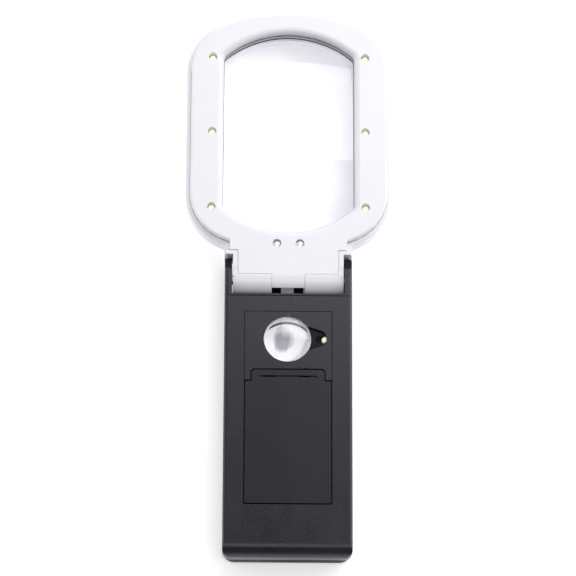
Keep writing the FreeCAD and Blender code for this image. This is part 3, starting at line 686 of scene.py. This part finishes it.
# Each leg's turns below the lamp's base, as (across, down).
LEG_TURNS = ((-0.1 * MM, -0.1 * MM), (1.3 * MM, 1.2 * MM), (1.6 * MM, 2.9 * MM))


def resin_profile(length):
    shaft = length - LAMP_R
    inner = FLANGE_R - FLANGE_ROUND
    foot = [(0, 0), (inner, 0), (FLANGE_R, FLANGE_ROUND), (FLANGE_R, FLANGE_H - FLANGE_ROUND),
            (inner, FLANGE_H), (LAMP_R, FLANGE_H)]
    return foot + arc(0, shaft, LAMP_R, 0, 90, 14)


CUP_WELL = CUP_H - CUP_WELL_DEPTH
CUP_PROFILE = [(0, CUP_FLOOR), (CUP_R, CUP_FLOOR), (CUP_R, CUP_H), (CUP_LIP_R, CUP_H),
               (CUP_WELL_R, CUP_WELL), (0, CUP_WELL)]
GEL_PROFILE = [(0, CUP_H - 0.45 * MM), (0.5 * MM, CUP_H - 0.45 * MM), (0.82 * MM, CUP_H - 0.04 * MM)] + arc(
    0, CUP_H - 0.10 * MM, 0.78 * MM, 8, 90, 8)


def lamps(name, body, node, places, length):
    """Clear lamps with a metal cup and phosphor inside, at (base, direction) places; gives the resin."""
    shells = lathed(name + "_resin", [(b, d, resin_profile(length)) for b, d in places], resin)
    cups = lathed(name + "_cups", [(b, d, CUP_PROFILE) for b, d in places], nickel, segments=24)
    gels = lathed(name + "_gel", [(b, d, GEL_PROFILE) for b, d in places], gel, segments=24)
    for part in (shells, cups, gels):
        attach(part, body)
    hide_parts(node)
    return shells


def paint_inside(obj, low, high, material):
    """Another material on the faces whose middle lies in the box."""
    obj.data.materials.append(material)
    for face in obj.data.polygons:
        if all(start < at < end for start, at, end in zip(low, face.center, high)):
            face.material_index = len(obj.data.materials) - 1


low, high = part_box("head_leds")
lamp_places = []
for x in (low.x + FLANGE_R, high.x - FLANGE_R):
    for y in (low.y + FLANGE_R, (low.y + high.y) / 2, high.y - FLANGE_R):
        lamp_places.append((Vector((x, y, low.z)), Vector((0, 0, 1))))
lamps("head_lamp", "head", "head_leds", lamp_places, high.z - low.z)

outward = Vector((-math.sin(LOUPE_LAMP_TILT), 0, math.cos(LOUPE_LAMP_TILT)))
lamp_base = LOUPE_BORE - outward * LOUPE_LAMP_DEPTH
loupe_resin = lamps("loupe_lamp", "handle", "loupe_led", [(lamp_base, outward)], LOUPE_LAMP_LENGTH)
# Painted shade: the loupe lamp's root, in the dark gap beside the panel, gets black faces, which also keep
# the resin's painted light out of the gap.
paint_inside(loupe_resin, LAMP_ROOT_SHADE_LOW, LAMP_ROOT_SHADE_HIGH, black)
board_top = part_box("main_board")[1].z
leg_routes = []
for side in (-1, 1):
    y = lamp_base.y + side * LEG_SPREAD
    route = [(lamp_base.x + across, y, lamp_base.z - down) for across, down in LEG_TURNS]
    leg_routes.append(route + [(route[-1][0], y, board_top)])
legs = tube("loupe_lamp_legs", leg_routes, LEG_R, zinc)
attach(legs, "handle")


# ------------------------------------------------------------ fold wiring

WIRE_R = 0.65 * MM
WIRE_XS = (-2.3, -0.9, 0.5, 1.9)
# (y, z) of each wire, from inside the handle, under the hinge and up into the neck.
WIRE_ROUTE = ((-15.2, 5.34), (-12.6, 5.35), (-8.6, 2.75), (-4.5, 2.9), (-2.2, 5.6), (0.4, 8.7),
              (4.0, 8.95), (8.0, 8.95), (13.6, 8.95))

wire_routes = [[(x * MM, y * MM, z * MM) for y, z in WIRE_ROUTE] for x in WIRE_XS]
wires = tube("fold_wires", wire_routes, WIRE_R, jacket)
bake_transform(wires)
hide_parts("handle_wires", "head_wires")


# ---------------------------------------------------- floor, light, camera

def floor():
    bm = bmesh.new()
    bmesh.ops.create_grid(bm, x_segments=8, y_segments=8, size=3.0)
    mesh = bpy.data.meshes.new("floor")
    bm.to_mesh(mesh)
    bm.free()
    sheet = piece("floor", mesh, floor_sheet())
    sheet.location.z = -FLOOR_GAP


def soft_light(name, place, aim, size, power):
    data = bpy.data.lights.new(name, "AREA")
    data.shape = "RECTANGLE"
    data.size, data.size_y = size
    data.energy = power
    lamp = bpy.data.objects.new(name, data)
    lamp.location = place
    lamp.rotation_mode = "QUATERNION"
    lamp.rotation_quaternion = (Vector(aim) - Vector(place)).to_track_quat("-Z", "Y")
    bpy.context.scene.collection.objects.link(lamp)


def surroundings(behind, ahead, horizon, overhead):
    """Soft white room: dim behind the handle's end, bright beyond the head and towards the horizon."""
    world = bpy.data.worlds.new("studio")
    bpy.context.scene.world = world
    world.use_nodes = True
    tree = world.node_tree
    direction = tree.nodes.new("ShaderNodeTexCoord").outputs["Generated"]
    split = tree.nodes.new("ShaderNodeSeparateXYZ")
    tree.links.new(direction, split.inputs["Vector"])
    along = tree.nodes.new("ShaderNodeMapRange")
    along.interpolation_type = "SMOOTHSTEP"
    for socket, value in (("From Min", -0.55), ("From Max", 0.45), ("To Min", behind), ("To Max", ahead)):
        along.inputs[socket].default_value = value
    tree.links.new(split.outputs["Y"], along.inputs["Value"])
    low = tree.nodes.new("ShaderNodeMapRange")
    for socket, value in (("From Min", 0.15), ("From Max", 0.95),
                          ("To Min", horizon), ("To Max", overhead)):
        low.inputs[socket].default_value = value
    tree.links.new(split.outputs["Z"], low.inputs["Value"])
    strength = tree.nodes.new("ShaderNodeMath")
    strength.operation = "MULTIPLY"
    tree.links.new(along.outputs["Result"], strength.inputs[0])
    tree.links.new(low.outputs["Result"], strength.inputs[1])
    tree.links.new(strength.outputs[0], tree.nodes["Background"].inputs["Strength"])
    tree.nodes["Background"].inputs["Color"].default_value = (1.0, 1.0, 1.0, 1.0)


AIM = Vector((-0.00017, -0.00601, 0.018))
BACK = Vector((-0.01754, -0.28586, 0.95811)).normalized()
DISTANCE = 1.2
ROLL = 0.0037
LENS = 177.24


def camera():
    """Long lens above the handle, looking down and a little towards the head."""
    right = Vector((0, 1, 0)).cross(BACK).normalized()
    up = BACK.cross(right)
    across = (right + up * ROLL).normalized()
    up = BACK.cross(across)
    data = bpy.data.cameras.new("camera")
    data.lens = LENS
    data.sensor_width = 36.0
    data.clip_start = 0.05
    eye = bpy.data.objects.new("camera", data)
    turn = Matrix((across, up, BACK)).transposed()
    eye.matrix_world = Matrix.Translation(AIM + BACK * DISTANCE) @ turn.to_4x4()
    bpy.context.scene.collection.objects.link(eye)
    bpy.context.scene.camera = eye


floor()
surroundings(0.28, 1.0, 1.35, 0.35)
soft_light("softbox_head_side", (0.70, 0.66, 1.1), (0.70, 0.66, 0), (1.6, 0.72), 11.2)
soft_light("softbox_camera_side", (0, -0.45, 1.4), (0, 0, 0), (1.6, 0.6), 5.5)
soft_light("softbox_left", (-1.5, 0.1, 0.5), (0, 0, 0), (1.6, 0.9), 5.0)
soft_light("softbox_right", (1.5, 0.15, 0.5), (0, 0, 0), (1.6, 0.9), 8.0)
camera()
bpy.context.scene.view_settings.view_transform = "Standard"
